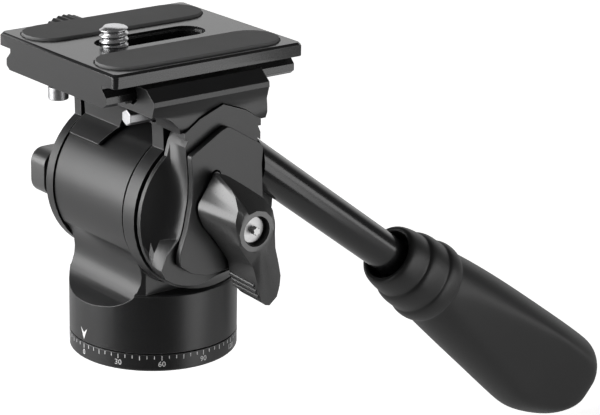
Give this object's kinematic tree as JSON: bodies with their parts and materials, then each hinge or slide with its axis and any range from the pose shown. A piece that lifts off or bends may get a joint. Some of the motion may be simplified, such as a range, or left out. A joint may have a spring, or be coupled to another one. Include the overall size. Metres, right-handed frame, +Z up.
{
  "type": "tripod head",
  "caption": "Pan and tilt tripod head with a side handle, wing lock knobs and a dovetail quick-release plate with a camera screw.",
  "frame": {"origin": "centre of the foot's underside, on the pan axis", "axes": "+Z up along the pan axis; the camera looks along -Y; the tilt axis runs along X, with the handle and the tilt lock on +X"},
  "size_m": [0.0743, 0.1412, 0.1094],
  "materials": {
    "black_metal": "bead-blasted black anodising",
    "plate_metal": "satin black anodising",
    "black_plastic": "fine grained black moulding",
    "grip_rubber": "matt black moulded rubber",
    "strip_rubber": "matt black rubber",
    "steel": "turned",
    "bright_steel": "bright",
    "brass": "turned",
    "bearing_polymer": "natural"
  },
  "bodies": {
    "base": {"scale_ring": "black_metal", "base_hub": "black_metal", "thread_bush": "brass", "foot_screw_1": "steel", "foot_screw_2": "steel", "foot_screw_3": "steel", "retaining_plate": "steel", "retaining_screw": "steel"},
    "pan": {"pan_body": "black_metal", "lower_thrust_washer": "bearing_polymer", "upper_thrust_washer": "bearing_polymer", "far_trunnion": "steel", "tilt_axle": "steel", "fixed_drag_disc_1": "steel", "fixed_drag_disc_2": "steel", "fixed_drag_disc_3": "steel", "drum_bearing": "bearing_polymer"},
    "brake_wedge": {"brake_wedge": "steel"},
    "pan_lock": {"pan_lock_knob": "black_plastic", "pan_lock_stud": "steel"},
    "brake": {"brake_pin": "steel", "brake_shoe": "bearing_polymer"},
    "tilt": {"yoke": "black_metal", "far_cheek_bush": "bearing_polymer", "arm_housing": "black_metal", "arm_cover": "black_metal", "arm_screw_1": "steel", "arm_screw_2": "steel", "arm_screw_3": "steel", "cover_screw_1": "black_metal", "cover_screw_2": "black_metal", "cover_screw_3": "black_metal", "handle_rod": "black_metal", "grip": "grip_rubber", "rod_pin": "steel", "tilt_sleeve": "black_metal", "turning_drag_disc_1": "steel", "turning_drag_disc_2": "steel", "front_guide_pin": "steel", "rear_guide_pin": "steel"},
    "thrust_washer": {"knob_thrust_washer": "black_plastic"},
    "tilt_lock": {"tilt_lock_knob": "black_plastic", "knob_insert": "steel", "knob_screw": "bright_steel"},
    "jaw": {"sliding_jaw": "black_metal", "front_jaw_spring": "steel", "rear_jaw_spring": "steel"},
    "clamp_knob": {"clamp_knob": "black_metal", "clamp_screw": "steel"},
    "button": {"safety_button": "bright_steel", "button_spring": "steel"},
    "plate": {"release_plate": "plate_metal", "left_rubber_strip": "strip_rubber", "right_rubber_strip": "strip_rubber", "front_stop_screw": "bright_steel", "rear_stop_screw": "bright_steel"},
    "screw_slider": {"screw_washer": "bearing_polymer"},
    "camera_screw": {"camera_screw": "bright_steel"}
  },
  "joints": [
    {"name": "pan", "type": "hinge", "parent": "base", "child": "pan", "pos_m": [0, 0, 0], "axis": [0, 0, 1], "continuous": true},
    {"name": "tilt", "type": "hinge", "parent": "pan", "child": "tilt", "pos_m": [0, 0, 0.037], "axis": [1, 0, 0], "range_deg": [-70, 80]},
    {"name": "tilt_lock_turn", "type": "hinge", "parent": "thrust_washer", "child": "tilt_lock", "pos_m": [0, 0, 0.037], "axis": [1, 0, 0], "range_deg": [0, 180]},
    {"name": "tilt_lock_creep", "type": "slide", "parent": "pan", "child": "thrust_washer", "axis": [1, 0, 0], "range_m": [0, 0.0004]},
    {"name": "pan_lock_turn", "type": "hinge", "parent": "brake_wedge", "child": "pan_lock", "pos_m": [0, 0, 0.037], "axis": [-1, 0, 0], "range_deg": [0, 180]},
    {"name": "pan_lock_creep", "type": "slide", "parent": "pan", "child": "brake_wedge", "axis": [-1, 0, 0], "range_m": [0, 0.0005]},
    {"name": "brake_lift", "type": "slide", "parent": "pan", "child": "brake", "axis": [0, 0, 1], "range_m": [0, 0.00042]},
    {"name": "jaw_slide", "type": "slide", "parent": "tilt", "child": "jaw", "axis": [-1, 0, 0], "range_m": [0, 0.003]},
    {"name": "clamp_knob_turn", "type": "hinge", "parent": "jaw", "child": "clamp_knob", "pos_m": [0, 0, 0.0608], "axis": [-1, 0, 0], "range_deg": [0, 1080]},
    {"name": "plate_slide", "type": "slide", "parent": "tilt", "child": "plate", "axis": [0, 1, 0], "range_m": [-0.0069, 0.0026]},
    {"name": "screw_slide", "type": "slide", "parent": "plate", "child": "screw_slider", "axis": [0, 1, 0], "range_m": [0, 0.0192]},
    {"name": "camera_screw_turn", "type": "hinge", "parent": "screw_slider", "child": "camera_screw", "pos_m": [0, -0.0104, 0.0715], "axis": [0, 0, 1], "continuous": true},
    {"name": "button_press", "type": "slide", "parent": "tilt", "child": "button", "axis": [0, 1, 0], "range_m": [0, 0.0025], "stiffness_N_per_m": 300, "springref_m": -0.002}
  ],
  "couplings": [
    {"joint": "tilt_lock_turn", "follows": "tilt_lock_creep", "rad_per_m": 7853.9},
    {"joint": "pan_lock_turn", "follows": "pan_lock_creep", "rad_per_m": 6283.1},
    {"joint": "brake_lift", "follows": "pan_lock_creep", "ratio": 0.8},
    {"joint": "clamp_knob_turn", "follows": "jaw_slide", "rad_per_m": 6283.1}
  ]
}
